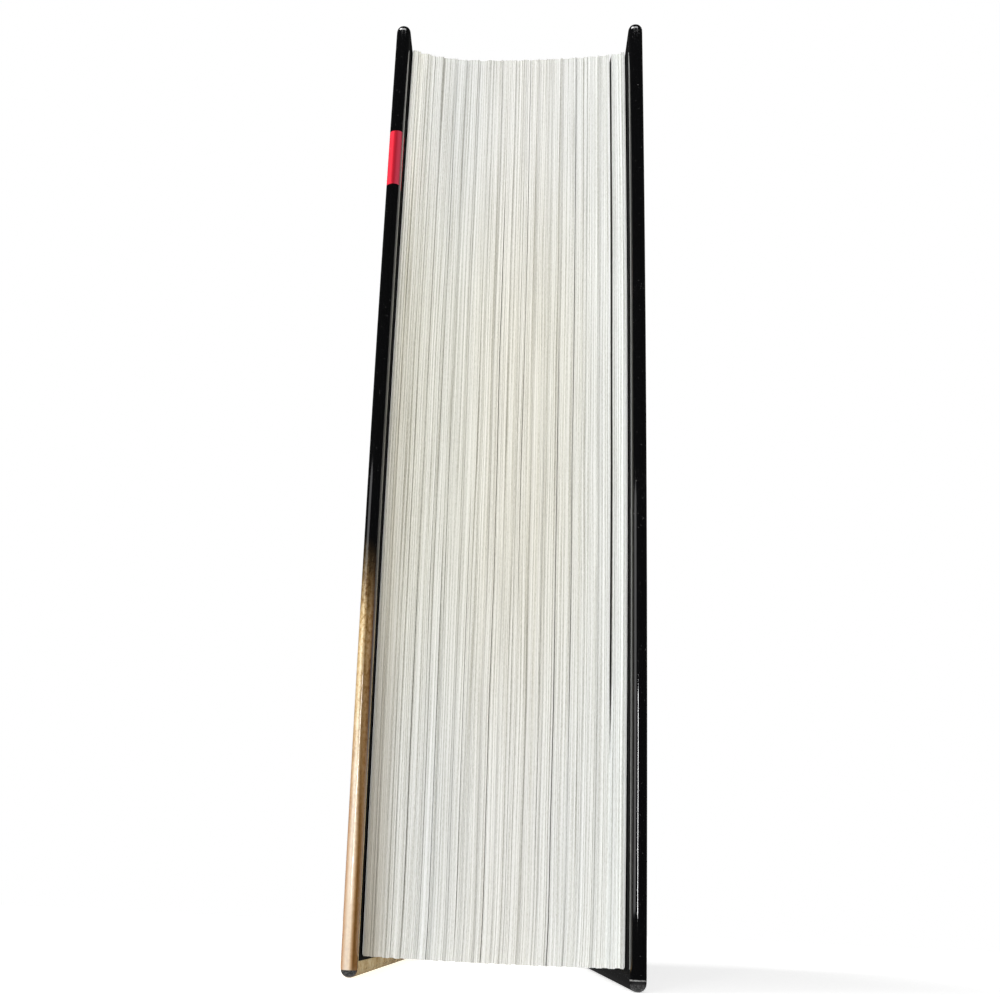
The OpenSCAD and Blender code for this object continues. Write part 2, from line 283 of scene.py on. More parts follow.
def tinted_leaves(tree, colour, along, share):
    """Broad tints: yellower at mid-height, and near the front cover lit above, shaded below."""
    colour = mix(tree, 1.0, colour, ramp(tree, share, LEAF_TINTS_AND_PAINTED_LIGHT), "MULTIPLY")
    above_tail = fade(tree, along, *AGED_LOW)
    below_head = fade(tree, along, *AGED_HIGH)
    aged = product(tree, above_tail, below_head, fade(tree, share, *AGED_BACK))
    colour = mix(tree, aged, colour, AGED, "MULTIPLY")
    near_front = fade(tree, share, *NEAR_FRONT)
    lit = calc(tree, "MULTIPLY", near_front, fade(tree, along, *LIT_HIGH))
    colour = mix(tree, lit, colour, LIT, "MULTIPLY")
    shaded = calc(tree, "MULTIPLY", near_front, fade(tree, along, *SHADED_LOW))
    return mix(tree, shaded, colour, SHADED)


def leaf_edge_material():
    """Paper edges: streaks and lines, painted shade and highlights, and broad tints over them."""
    material, tree, shader = new_material("leaf_edges")
    strip = add(tree, "ShaderNodeUVMap", uv_map="leaves").outputs[0]
    across, along, _ = split(tree, strip)
    share = calc(tree, "DIVIDE", across, 2 * LEAVES_HALF)
    painted_light = add(tree, "ShaderNodeAttribute", attribute_name="painted_light").outputs["Fac"]
    fibres = noise(tree, stretched(tree, strip, FIBRE_SCALE), 1.0, 3.0, 0.75)
    value, finest = leaf_streaks(tree, strip, along, share)
    value = calc(tree, "MULTIPLY_ADD", thin_lines(tree, strip, across), LINE_WEIGHT, value)
    value = calc(tree, "MULTIPLY_ADD", fibres, FIBRE_WEIGHT, value)
    # The painted light attribute: painted shade in grooves and partings, painted highlights on a
    # few leaves.
    value = calc(tree, "ADD", calc(tree, "ADD", value, painted_light), PLAIN_EDGE)
    colour = tinted_leaves(tree, ramp(tree, value, EDGE_RAMP), along, share)
    relief = bump(tree, finest, 0.5, 0.05)
    connect(tree, shader, Base_Color=colour, Roughness=0.85, Normal=relief)
    connect(tree, shader, Specular_IOR_Level=0.2)
    return material


BLACK = (0.0015, 0.0015, 0.0018, 1.0)
RED = (0.95, 0.04, 0.07, 1.0)
WHITE = (1.0, 1.0, 1.0, 1.0)
# Heights of the edges of the red field, and of the fade from tan up to black.
RED_LOW, RED_HIGH = 194.4, 210.2
TAN_FULL, TAN_START = 79.0, 99.5
# How far the fade's edge wavers, and how it grows dark on its way up.
FADE_WAVER = 10.0
FADE_POWER = 0.5
# The front cover's faces at its head and tail, and how far its middle stands out from them.
COVER_OUT, COVER_IN = -32.65, -29.05
COVER_BOW = 0.55
# Where the painted light and shade across the fore-edge end, in millimetres from the middle of
# the book.
EDGE_FULL_Y, EDGE_END_Y = -98.9, -97.6
# Near the tail the painted highlight stripe is wider and paler: two heights in metres, and the
# strength at each.
WIDE_PAINTED_LIGHT = (0.02, 0.065, 0.26, 0.0)
PAINTED_HIGHLIGHT_STRIPE = (0.02, 0.075, 0.8, 0.0)
# Speckle of the tan, and the patches that it lies in: scale along each axis.
GRAIN_SCALE = (1500.0, 1300.0, 900.0)
PATCH_SCALE = (260.0, 90.0, 75.0)
GRAIN_WEIGHT, PATCH_WEIGHT = 0.8, 0.4
TAN_RAMP = [
    (0.42, (0.30, 0.16, 0.06)),
    (0.53, (0.60, 0.42, 0.19)),
    (0.62, (0.82, 0.64, 0.36)),
    (0.74, (0.93, 0.79, 0.54)),
]
# Painted light and shade across the fore-edge, from its outer side to its inner one.
# On the tan: the outer side lit, painted shade in the middle and beside the leaves.
TAN_PAINTED_SHADE = [
    (0.02, (0.78, 0.68, 0.58)),
    (0.28, (1.0, 1.0, 1.0)),
    (0.40, (0.60, 0.53, 0.47)),
    (0.52, (0.22, 0.17, 0.11)),
    (0.72, (0.36, 0.29, 0.23)),
    (0.86, (0.25, 0.18, 0.13)),
    (0.93, (0.05, 0.012, 0.006)),
]
# A painted highlight stripe down the tan, with painted shade on its inner side.
PAINTED_HIGHLIGHT_SHADES = [
    (0.1, (0.70, 0.48, 0.36)),
    (0.3, (1.0, 0.97, 0.92)),
    (0.75, (0.62, 0.36, 0.14)),
]
# On the red: painted shade in the middle and beside the leaves, and a painted reflection on the
# inner side.
RED_PAINTED_LIGHT = [
    (0.28, (1.0, 1.0, 1.0)),
    (0.44, (0.45, 0.30, 0.35)),
    (0.56, (0.34, 0.30, 0.38)),
    (0.70, (0.50, 0.90, 0.90)),
    (0.86, (0.55, 1.20, 1.20)),
    (0.96, (0.10, 0.05, 0.05)),
]


def cover_share(tree, across, height):
    """Share of the front cover's thickness, from its outer face to its inner one."""
    level = calc(tree, "MULTIPLY_ADD", height, 2 / (BOOK_HEIGHT * MM), -1.0)
    squared = calc(tree, "MULTIPLY", level, level)
    bow = calc(tree, "MULTIPLY_ADD", squared, -COVER_BOW * MM, COVER_BOW * MM)
    straight = calc(tree, "ADD", across, bow)
    return fade(tree, straight, COVER_OUT * MM, COVER_IN * MM, smooth=False)


def painted_edge_light(tree, colour, share, shades, beyond):
    """A colour with painted light and shade across the fore-edge's thickness, and plain beyond
    it.
    """
    shade = mix(tree, beyond, ramp(tree, share, shades), WHITE)
    return mix(tree, 1.0, colour, shade, "MULTIPLY")


def tan_field(tree, grain, patches, share, height, beyond):
    """Speckled tan, with a painted highlight stripe and painted shade in the middle and on the
    inner side of the fore-edge.
    """
    patchy = calc(tree, "MULTIPLY", patches, PATCH_WEIGHT)
    mottle = calc(tree, "MULTIPLY_ADD", grain, GRAIN_WEIGHT, patchy)
    # The painted highlight stripe, low on the tan edge.
    pale = fade(tree, height, *PAINTED_HIGHLIGHT_STRIPE)
    pale = calc(tree, "MULTIPLY", pale, calc(tree, "SUBTRACT", 1.0, beyond))
    tan = mix(tree, pale, ramp(tree, mottle, TAN_RAMP), ramp(tree, share, PAINTED_HIGHLIGHT_SHADES))
    wider = calc(tree, "SUBTRACT", share, fade(tree, height, *WIDE_PAINTED_LIGHT))
    return painted_edge_light(tree, tan, wider, TAN_PAINTED_SHADE, beyond)


def print_fields(tree, across, depth, height):
    """The front cover's plain fields of colour by height, with painted light and shade across the
    edge's thickness.
    """
    place = place_socket(tree)
    grain = noise(tree, stretched(tree, place, GRAIN_SCALE), 1.0, 4.0, 0.75)
    patches = noise(tree, stretched(tree, place, PATCH_SCALE), 1.0, 4.0, 0.6)
    share = cover_share(tree, across, height)
    beyond = fade(tree, depth, EDGE_FULL_Y * MM, EDGE_END_Y * MM)
    tan = tan_field(tree, grain, patches, share, height, beyond)
    wavering = calc(tree, "MULTIPLY_ADD", patches, FADE_WAVER * MM, height)
    wavering = calc(tree, "SUBTRACT", wavering, FADE_WAVER / 2 * MM)
    upper = fade(tree, wavering, TAN_FULL * MM, TAN_START * MM)
    colour = mix(tree, calc(tree, "POWER", upper, FADE_POWER), tan, BLACK)
    above_low = calc(tree, "GREATER_THAN", height, RED_LOW * MM)
    below_high = calc(tree, "LESS_THAN", height, RED_HIGH * MM)
    in_band = calc(tree, "MULTIPLY", above_low, below_high)
    red = painted_edge_light(tree, RED, share, RED_PAINTED_LIGHT, beyond)
    return mix(tree, in_band, colour, red)


# Scuffs on the back cover's fore-edge: lowest and highest place. Below them lies a pale crease.
SCUFFS = [(104.0, 118.0), (163.0, 168.0), (238.0, 242.5)]
SCUFF_FADE = 2.0
CREASE_LOW, CREASE_HIGH = 2.2, 2.6
CREASE_FADE = 0.1
# The dark, speckled band at each cover's tail corner.
CAP_HIGH = 1.7
CAP_FADE = 0.2
CAP_RAMP = [(0.5, (0.008, 0.008, 0.008)), (0.62, (0.06, 0.06, 0.058))]
# Where the wear and the dark tail band on the fore-edge end, in millimetres from the middle of
# the book.
WEAR_FULL_Y, WEAR_END_Y = -99.5, -98.0
FINE_SCALE = 2600.0
DUST_SCALE = 2000.0
DUST = (0.55, 0.55, 0.54, 1.0)
# How specks come out of their noise: two of its values, and the strength at each.
DUST_SPECKS = (0.69, 0.76, 0.0, 0.25)
SCUFF_SPECKS = (0.64, 0.72, 0.0, 0.4)
CREASE_SPECKS = (0.35, 0.5, 0.1, 0.5)
# Faint waves in the film, and its patches of more and less roughness.
WAVE_SCALE = (500.0, 500.0, 60.0)
ROUGH_SCALE = 350.0
ROUGH_PATCHES = (0.3, 0.7, 0.3, 0.5)


def between(tree, value, low, high, edge):
    """One between two places in millimetres, fading out over an edge inside them."""
    rise = fade(tree, value, low * MM, (low + edge) * MM)
    fall = fade(tree, value, (high - edge) * MM, high * MM, 1.0, 0.0)
    return calc(tree, "MULTIPLY", rise, fall)


def scuffs_and_crease(tree, height, fine, dust):
    """The back cover's wear, by height along its fore-edge."""
    scuffs = 0.0
    for low, high in SCUFFS:
        scuffs = calc(tree, "ADD", scuffs, between(tree, height, low, high, SCUFF_FADE))
    scuffs = calc(tree, "MULTIPLY", scuffs, fade(tree, fine, *SCUFF_SPECKS))
    crease = between(tree, height, CREASE_LOW, CREASE_HIGH, CREASE_FADE)
    crease = calc(tree, "MULTIPLY", crease, fade(tree, dust, *CREASE_SPECKS))
    return calc(tree, "ADD", scuffs, crease)


def laminate_material(name, printed):
    """Printed paper under a clear gloss film, with specks, a dark band at its tail corner and, on
    the plain one, scuffs and a crease along its fore-edge.
    """
    material, tree, shader = new_material(name)
    place = place_socket(tree)
    across, depth, height = split(tree, place)
    colour = print_fields(tree, across, depth, height) if printed else BLACK
    fine = noise(tree, place, FINE_SCALE, 3.0, 0.7)
    dust = noise(tree, place, DUST_SCALE, 3.0, 0.6)
    fore_edge = fade(tree, depth, WEAR_FULL_Y * MM, WEAR_END_Y * MM, 1.0, 0.0)
    cap = fade(tree, height, (CAP_HIGH - CAP_FADE) * MM, CAP_HIGH * MM, 1.0, 0.0)
    cap = calc(tree, "MULTIPLY", cap, fore_edge)
    colour = mix(tree, cap, colour, ramp(tree, fine, CAP_RAMP))
    marks = fade(tree, dust, *DUST_SPECKS)
    if not printed:
        worn = scuffs_and_crease(tree, height, fine, dust)
        marks = calc(tree, "MAXIMUM", marks, calc(tree, "MULTIPLY", worn, fore_edge))
    colour = mix(tree, marks, colour, DUST)
    waves = noise(tree, stretched(tree, place, WAVE_SCALE), 1.0, 3.0, 0.6)
    relief = bump(tree, waves, 0.2, 0.06)
    relief = bump(tree, marks, 0.15, -0.03, relief)
    patches = noise(tree, place, ROUGH_SCALE, 3.0, 0.6)
    roughness = fade(tree, patches, *ROUGH_PATCHES)
    connect(tree, shader, Base_Color=colour, Roughness=roughness, Normal=relief)
    connect(tree, shader, Specular_IOR_Level=0.0, Coat_Normal=relief)
    connect(tree, shader, Coat_Weight=1.0, Coat_Roughness=0.05, Coat_IOR=1.6)
    return material


def paper_fibres(tree, place):
    """Fine fibres, drawn out level."""
    return noise(tree, stretched(tree, place, (900.0, 900.0, 2600.0)), 1.0, 4.0, 0.65)


def paper_material(name, colour, dark):
    """Plain paper with fine fibres."""
    material, tree, shader = new_material(name)
    place = place_socket(tree)
    fibres = paper_fibres(tree, place)
    cloud = noise(tree, place, 60.0, 3.0, 0.5)
    value = calc(tree, "MULTIPLY_ADD", fibres, 0.7, calc(tree, "MULTIPLY", cloud, 0.3))
    shades = ramp(tree, value, [(0.3, dark), (0.6, colour)])
    relief = bump(tree, fibres, 0.3, 0.03)
    connect(tree, shader, Base_Color=shades, Roughness=0.8, Normal=relief)
    connect(tree, shader, Specular_IOR_Level=0.25)
    return material


# How squarely a surface faces the covers to count as the sheet's face, not its cut edge.
FACE_LEAST = 0.6


def endpaper_material(name, cut_edge):
    """Paper plain black on both faces, with a colour of its own on its cut edges."""
    material, tree, shader = new_material(name)
    place = place_socket(tree)
    fibres = paper_fibres(tree, place)
    black_faces = ramp(tree, fibres, [(0.3, (0.006, 0.006, 0.006)), (0.7, (0.011, 0.010, 0.010))])
    facing = split(tree, add(tree, "ShaderNodeTexCoord").outputs["Normal"])[0]
    printed = calc(tree, "GREATER_THAN", calc(tree, "ABSOLUTE", facing), FACE_LEAST)
    colour = mix(tree, printed, (*cut_edge, 1.0), black_faces)
    relief = bump(tree, fibres, 0.3, 0.03)
    connect(tree, shader, Base_Color=colour, Roughness=0.75, Normal=relief)
    connect(tree, shader, Specular_IOR_Level=0.02)
    return material


RIB_LENGTH = 1.3
RIB_RAMP = [(0.35, (0.10, 0.09, 0.08)), (0.6, (0.80, 0.77, 0.68))]
THREAD_RAMP = [(0.3, (0.3, 0.28, 0.25)), (0.7, (0.9, 0.88, 0.8))]
THREAD_WEIGHT = 0.35


def headband_material():
    """Sewn ribs round the bead, in two shades of thread."""
    material, tree, shader = new_material("headband")
    place = place_socket(tree)
    across, depth, height = split(tree, place)
    behind = calc(tree, "SUBTRACT", depth, BACK_CENTRE_Y * MM)
    angle = calc(tree, "ARCTAN2", across, behind)
    turns = calc(tree, "MULTIPLY", angle, BACK_RADIUS * 2 * np.pi / RIB_LENGTH)
    rib = calc(tree, "MULTIPLY_ADD", calc(tree, "SINE", turns), 0.5, 0.5)
    threads = noise(tree, stretched(tree, place, (1200.0, 3000.0, 3000.0)), 1.0, 3.0, 0.6)
    twist = ramp(tree, threads, THREAD_RAMP)
    shades = mix(tree, THREAD_WEIGHT, ramp(tree, rib, RIB_RAMP), twist)
    relief = bump(tree, rib, 0.9, 0.25)
    connect(tree, shader, Base_Color=shades, Roughness=0.7, Normal=relief, Sheen_Weight=0.2)
    return material


def gauze_material():
    """Open cotton weave, stiff with glue."""
    material, tree, shader = new_material("gauze")
    place = place_socket(tree)
    threads = []
    for direction in ("Y", "Z"):
        wave = add(
            tree,
            "ShaderNodeTexWave",
            {"Vector": place, "Scale": 260.0, "Distortion": 0.6, "Detail": 1.0},
            bands_direction=direction,
        )
        threads.append(wave.outputs["Fac"])
    weave = calc(tree, "MAXIMUM", threads[0], threads[1])
    shades = ramp(tree, weave, [(0.2, (0.42, 0.38, 0.30)), (0.8, (0.78, 0.74, 0.63))])
    relief = bump(tree, weave, 0.8, 0.12)
    connect(tree, shader, Base_Color=shades, Roughness=0.9, Normal=relief)
    return material


def board_material(name, colour, dark):
    """Grey or brown board with specks of pulp."""
    material, tree, shader = new_material(name)
    place = place_socket(tree)
    pulp = noise(tree, place, 1200.0, 5.0, 0.7)
    layers = noise(tree, stretched(tree, place, (5000.0, 200.0, 200.0)), 1.0, 2.0, 0.5)
    value = calc(tree, "MULTIPLY_ADD", pulp, 0.7, calc(tree, "MULTIPLY", layers, 0.3))
    shades = ramp(tree, value, [(0.35, dark), (0.65, colour)])
    relief = bump(tree, pulp, 0.5, 0.08)
    connect(tree, shader, Base_Color=shades, Roughness=0.9, Normal=relief)
    return material


def hollow_share(u):
    """Share of the hollow's full depth at shares u from front to back."""
    front = np.clip((HOLLOW_PEAK - u) / HOLLOW_PEAK, 0, 1) ** HOLLOW_FRONT_POWER
    back = np.clip((u - HOLLOW_PEAK) / (1 - HOLLOW_PEAK), 0, 1) ** HOLLOW_BACK_POWER
    return (1 - front - back) ** HOLLOW_POWER


def uneven(i, turn):
    """Uneven shares from 0 to 1, one for each bundle."""
    return 0.5 + 0.5 * np.sin(np.radians(i * turn))


def bundle_sides():
    """The sides of the bundles, as shares from front to back."""
    i = np.arange(BUNDLES + 1)
    sides = (i + BUNDLE_SHIFT * np.sin(np.radians(i * WIDTH_TURN))) / BUNDLES
    sides[0] = 0
    sides[-1] = 1
    return sides


def half_at(z):
    """Half of the leaves' thickness at the fore-edge, at a height."""
    return LEAVES_HALF + SWELL * (1 - (2 * (z - TAIL_Z) / LEAF_HEIGHT - 1) ** 2).clip(0)


LEAVES_IN_BUNDLE = 11
LEAF_LEVELS = 48
LEAF_SEED = 11
# How far single leaves stand out from their bundle, at the fore-edge and at the ends.
LEAF_STEP = 0.07
END_LEAF_STEP = 0.05
# Grooves between the bundles: least and greatest depth, and the painted shade of the darkest. Few
# are dark.
GROOVE_DEPTHS = (0.02, 0.14)
GROOVE_PAINTED_SHADE = 0.3
GROOVE_RARITY = 3
# How far the leaves stray sideways and in depth, with the places along and across where the
# stray changes.
SIDE_STRAY = 0.16
SIDE_KNOTS = (9, 17)
DEPTH_STRAY = 0.03
DEPTH_KNOTS = 12
# The stray grows from none at the outermost leaves, this fast with the share from them.
SIDE_EASE = 6
# At the tail the leaves bend towards the front cover: how far, and over what height.
TAIL_BEND = 0.5
TAIL_BEND_HEIGHT = 9.0
# Away from the fore-edge the stray dies out with this power of the rest of the way.
STRAY_POWER = 6
# Share of the fore-edge's painted light and shade that the ends and the sides keep.
END_PAINTED_LIGHT = 0.3

# Partings and lines: share from front to back, lowest and highest place, width.
PARTINGS = [
    (PARTING_PLACE, 60, 262, 0.5),
    (0.46, -20, 190, 0.07),
    (0.71, -30, 150, 0.10),
    (0.65, 30, 130, 0.05),
    (0.785, 60, 230, 0.06),
    (0.245, -20, 95, 0.05),
    (0.34, 10, 110, 0.04),
    (0.15, 20, 90, 0.03),
    (0.56, 90, 240, 0.04),
]
# The leaves beside a parting give way over this share, and it is this deep and has this much
# painted shade for its width, up to a greatest depth and painted shade.
PARTING_REACH = 0.012
PARTING_STEEPNESS = 10
PARTING_PAINTED_SHADE = 5
PARTING_PAINTED_SHADE_MOST = 1.6
# Leaves with a painted highlight, where they catch the light: share, lowest and highest place,
# strength.
PAINTED_HIGHLIGHT_LEAVES = [(0.228, -10, 90, 0.30), (0.61, 20, 150, 0.15), (0.33, 120, 240, 0.12)]
PAINTED_HIGHLIGHT_WIDTH = 0.004
WINDOW_FADE = 18.0


def window(z, low, high):
    """One between two heights, fading out across them."""
    rise = np.clip((z - low) / WINDOW_FADE + 0.5, 0, 1)
    fall = np.clip((high - z) / WINDOW_FADE + 0.5, 0, 1)
    return rise * fall


def drift(rng, knots, length, levels):
    """Smooth random values from -1 to 1: a row for each level, a column for each of length."""
    coarse = rng.uniform(-1, 1, (knots[0], knots[1]))
    rows = np.linspace(0, knots[0] - 1, levels)
    places = np.linspace(0, knots[1] - 1, length)
    by_row = np.array([np.interp(rows, np.arange(knots[0]), c) for c in coarse.T]).T
    return np.array([np.interp(places, np.arange(knots[1]), r) for r in by_row])


def leaf_columns(rng):
    """Every leaf's share across the fore-edge and its depth, with a groove between bundles."""
    sides = bundle_sides()
    shares, depths, grooves = [0.0], [], [False]
    middles = (sides[:-1] + sides[1:]) / 2
    base = FORE_Y + SQUARE_FORE + LEAN * middles + ROUND_DEPTH * hollow_share(middles)
    base = base + BUNDLE_STEP * uneven(np.arange(BUNDLES), FORE_TURN)
    depths.append(base[0])
    for i in range(BUNDLES):
        if i > 0:
            shares.append(sides[i])
            depths.append(max(base[i - 1], base[i]) + rng.uniform(*GROOVE_DEPTHS))
            grooves.append(True)
        for leaf in range(LEAVES_IN_BUNDLE):
            part = (leaf + 0.5) / LEAVES_IN_BUNDLE
            shares.append(sides[i] + (sides[i + 1] - sides[i]) * part)
            depths.append(base[i] + rng.uniform(-LEAF_STEP, LEAF_STEP))
            grooves.append(False)
    shares.append(1.0)
    depths.append(base[-1])
    grooves.append(False)
    return np.array(shares), np.array(depths), np.array(grooves)


def end_heights(shares, rng):
    """The uneven, sagging tail and head of each leaf."""
    i = np.floor(shares * BUNDLES + 0.5)
    sag = SAG * 4 * shares * (1 - shares)
    step = BUNDLE_STEP * END_SHARE
    noise_low, noise_high = rng.uniform(0, END_LEAF_STEP, (2, len(shares)))
    low = TAIL_Z - sag + step * uneven(i, TAIL_TURN) + noise_low
    high = HEAD_Z - sag - step * uneven(i, HEAD_TURN) - noise_high
    return low, high


def part_leaves(shares, grooves, z, shift, y, painted_light):
    """Opens the partings: moves the leaves beside each aside, and makes it deep, with painted
    shade in it.
    """
    sides = shares[grooves]
    for place, bottom, top, width in PARTINGS:
        side = sides[np.argmin(np.abs(sides - place))]
        column = int(np.argmin(np.abs(shares - side)))
        wide = width * window(z, bottom, top)
        away = shares - side
        shift += wide / 2 * np.sign(away) * np.exp(-np.abs(away) / PARTING_REACH)
        y[:, column] += np.minimum(PARTING_STEEPNESS * wide[:, column], PARTING_DEPTH)
        # Painted shade down the opening of the parting.
        painted_light[:, column] -= np.minimum(PARTING_PAINTED_SHADE * wide[:, column], PARTING_PAINTED_SHADE_MOST)


def leaf_fore_edge(rng):
    """Places and painted light and shade of the leaves' fore-edge: rows are levels and columns
    are leaves.
    """
    shares, depths, grooves = leaf_columns(rng)
    low, high = end_heights(shares, rng)
    level = np.linspace(0, 1, LEAF_LEVELS + 1)[:, None]
    z = low + (high - low) * level
    count = len(shares)
    painted_light = np.zeros_like(z)
    shift = SIDE_STRAY * drift(rng, SIDE_KNOTS, count, LEAF_LEVELS + 1)
    shift = shift - TAIL_BEND * np.exp(-(z - TAIL_Z) / TAIL_BEND_HEIGHT)
    shift = shift * np.clip(SIDE_EASE * np.minimum(shares, 1 - shares), 0, 1)
    y = depths + DEPTH_STRAY * drift(rng, (DEPTH_KNOTS, count), count, LEAF_LEVELS + 1)
    part_leaves(shares, grooves, z, shift, y, painted_light)
    # Painted highlights on a few leaves.
    for place, bottom, top, strength in PAINTED_HIGHLIGHT_LEAVES:
        away = (shares - place) / PAINTED_HIGHLIGHT_WIDTH
        painted_light += strength * window(z, bottom, top) * np.exp(-(away**2))
    # Painted shade in some of the grooves between bundles.
    painted_light[:, grooves] -= GROOVE_PAINTED_SHADE * rng.uniform(0.0, 1.0, grooves.sum()) ** GROOVE_RARITY
    y[:, [0, -1]] = depths[[0, -1]]
    x = (2 * shares - 1) * half_at(z) + shift
    return shares, x, y, z, painted_light


# Rows of points from the fore-edge to the spine's shoulder, as shares of the way.
DEPTH_ROWS = (0.0, 0.02, 0.1, 0.35, 0.65, 1.0)


def leaves_grid(rng):
    """The whole block as a grid of points: levels, rows from fore-edge to spine, leaves."""
    shares, x, y, z, painted_light = leaf_fore_edge(rng)
    rows = len(DEPTH_ROWS) + 1
    points = np.zeros((LEAF_LEVELS + 1, rows, len(shares), 3))
    side_y = SHOULDER_Y - SHOULDER_LENGTH
    for row, share in enumerate(DEPTH_ROWS):
        half = half_at(z) + (LEAVES_HALF - half_at(z)) * share
        plain = (2 * shares - 1) * half
        moved = x - (2 * shares - 1) * half_at(z)
        points[:, row, :, 0] = plain + moved * (1 - share) ** STRAY_POWER
        points[:, row, :, 1] = y + (side_y - y) * share
        points[:, row, :, 2] = z
    back_x = (2 * shares - 1) * SHOULDER_HALF
    points[:, -1, :, 0] = back_x
    points[:, -1, :, 1] = BACK_CENTRE_Y + np.sqrt(BACK_RADIUS**2 - back_x**2)
    points[:, -1, :, 2] = z
    return shares, points, painted_light


def grid_surface(points):
    """The outer points of a grid, and the quads that close it, as indices into those points."""
    levels, rows, columns = points.shape[:3]
    outer = np.zeros((levels, rows, columns), bool)
    outer[[0, -1]] = True
    outer[:, [0, -1]] = True
    outer[:, :, [0, -1]] = True
    index = np.full(outer.shape, -1)
    index[outer] = np.arange(outer.sum())
    quads = []
    for sheet, turned in (
        (index[0], False),
        (index[-1], True),
        (index[:, 0], True),
        (index[:, -1], False),
        (index[:, :, 0], False),
        (index[:, :, -1], True),
    ):
        corners = [sheet[:-1, :-1], sheet[1:, :-1], sheet[1:, 1:], sheet[:-1, 1:]]
        faces = np.stack([c.ravel() for c in corners], 1)
        quads.append(faces[:, ::-1] if turned else faces)
    return outer, np.concatenate(quads)


def mesh_object(name, points, faces, material):
    """A mesh from points in millimetres, its faces turned outwards."""
    mesh = bpy.data.meshes.new(name)
    mesh.from_pydata((np.asarray(points) * MM).tolist(), [], [list(f) for f in faces])
    mesh.materials.append(material)
    piece = bpy.data.objects.new(name, mesh)
    bpy.context.scene.collection.objects.link(piece)
    shell = bmesh.new()
    shell.from_mesh(mesh)
    bmesh.ops.recalc_face_normals(shell, faces=shell.faces)
    shell.to_mesh(mesh)
    shell.free()
    return piece


def make_leaves():
    """All the leaves as one piece, with the place of each point along and across the leaves."""
    rng = np.random.default_rng(LEAF_SEED)
    shares, points, painted_light = leaves_grid(rng)
    outer, quads = grid_surface(points)
    piece = mesh_object("leaf_block", points[outer], quads.tolist(), leaf_edge_material())
    mesh = piece.data
    across = np.broadcast_to(2 * LEAVES_HALF * shares, outer.shape)[outer]
    depth = points[..., 1] - points[:, :1, :, 1]
    middle = (TAIL_Z + HEAD_Z) / 2
    upper = points[..., 2] > middle
    along = np.where(upper, points[..., 2] + depth, points[..., 2] - depth)[outer]
    strip = np.stack([across, along], 1)
    corners = np.empty(len(mesh.loops), np.int64)
    mesh.loops.foreach_get("vertex_index", corners)
    layer = mesh.uv_layers.new(name="leaves")
    layer.data.foreach_set("uv", strip[corners].astype(np.float32).ravel())
    # Painted light and shade of the fore-edge, kept at a lesser share on the ends and the sides.
    full_painted_light = np.zeros(outer.shape)
    full_painted_light[:, 0] = painted_light
    full_painted_light[:, 1:] = END_PAINTED_LIGHT * painted_light[:, None]
    attribute = mesh.attributes.new("painted_light", "FLOAT", "POINT")
    attribute.data.foreach_set("value", full_painted_light[outer].astype(np.float32))
    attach(piece, ROOT)
    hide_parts("text_block")


JOINT_ROWS = 16
JOINT_LEVELS = 60
# Smooth shading crosses angles up to this one, in degrees, between facets welded this near.
SHARP_ANGLE = 35.0
WELD = 0.0005


def make_joint(name, node, side, outer, inner):
    """The flexible strip in a groove, between the spine and a cover."""
    rows = np.linspace(GROOVE_END_Y, GROOVE_START_Y, JOINT_ROWS + 1)
    levels = np.linspace(0, BOOK_HEIGHT, JOINT_LEVELS + 1)
    points = np.zeros((JOINT_LEVELS + 1, JOINT_ROWS + 1, 2, 3))
    points[..., 0] = side * np.array([JOINT_OUT, JOINT_IN])
    points[..., 1] = rows[:, None]
    points[..., 2] = levels[:, None, None]
    shown, quads = grid_surface(points)
    piece = mesh_object(name, points[shown], quads.tolist(), outer)
    piece.data.materials.append(inner)
    middle = (JOINT_IN + JOINT_OUT) / 2 * MM
    for face in piece.data.polygons:
        inside = face.center.x * side < middle and abs(face.normal.x) > FACE_LEAST
        face.material_index = int(inside)
        face.use_smooth = True
    piece.data.set_sharp_from_angle(angle=np.radians(SHARP_ANGLE))
    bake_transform(piece)
    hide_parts(node)


def shade_rounds(piece):
    """Joins a solid's facets along their edges, and shades them as rounds across small angles."""
    normals = piece.data.attributes.get("custom_normal")
    if normals is not None:
        piece.data.attributes.remove(normals)
    piece.data.shade_smooth()
    joined = piece.modifiers.new("joined_facets", "WELD")
    joined.merge_threshold = WELD * MM
    sharp = piece.modifiers.new("sharp_edges", "EDGE_SPLIT")
    sharp.split_angle = np.radians(SHARP_ANGLE)


def dress(node, material, smooth=False):
    """Gives a solid of the model its material, and shades it as a round if it is smooth."""
    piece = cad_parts[node]
    piece.data.materials.clear()
    piece.data.materials.append(material)
    if smooth:
        shade_rounds(piece)


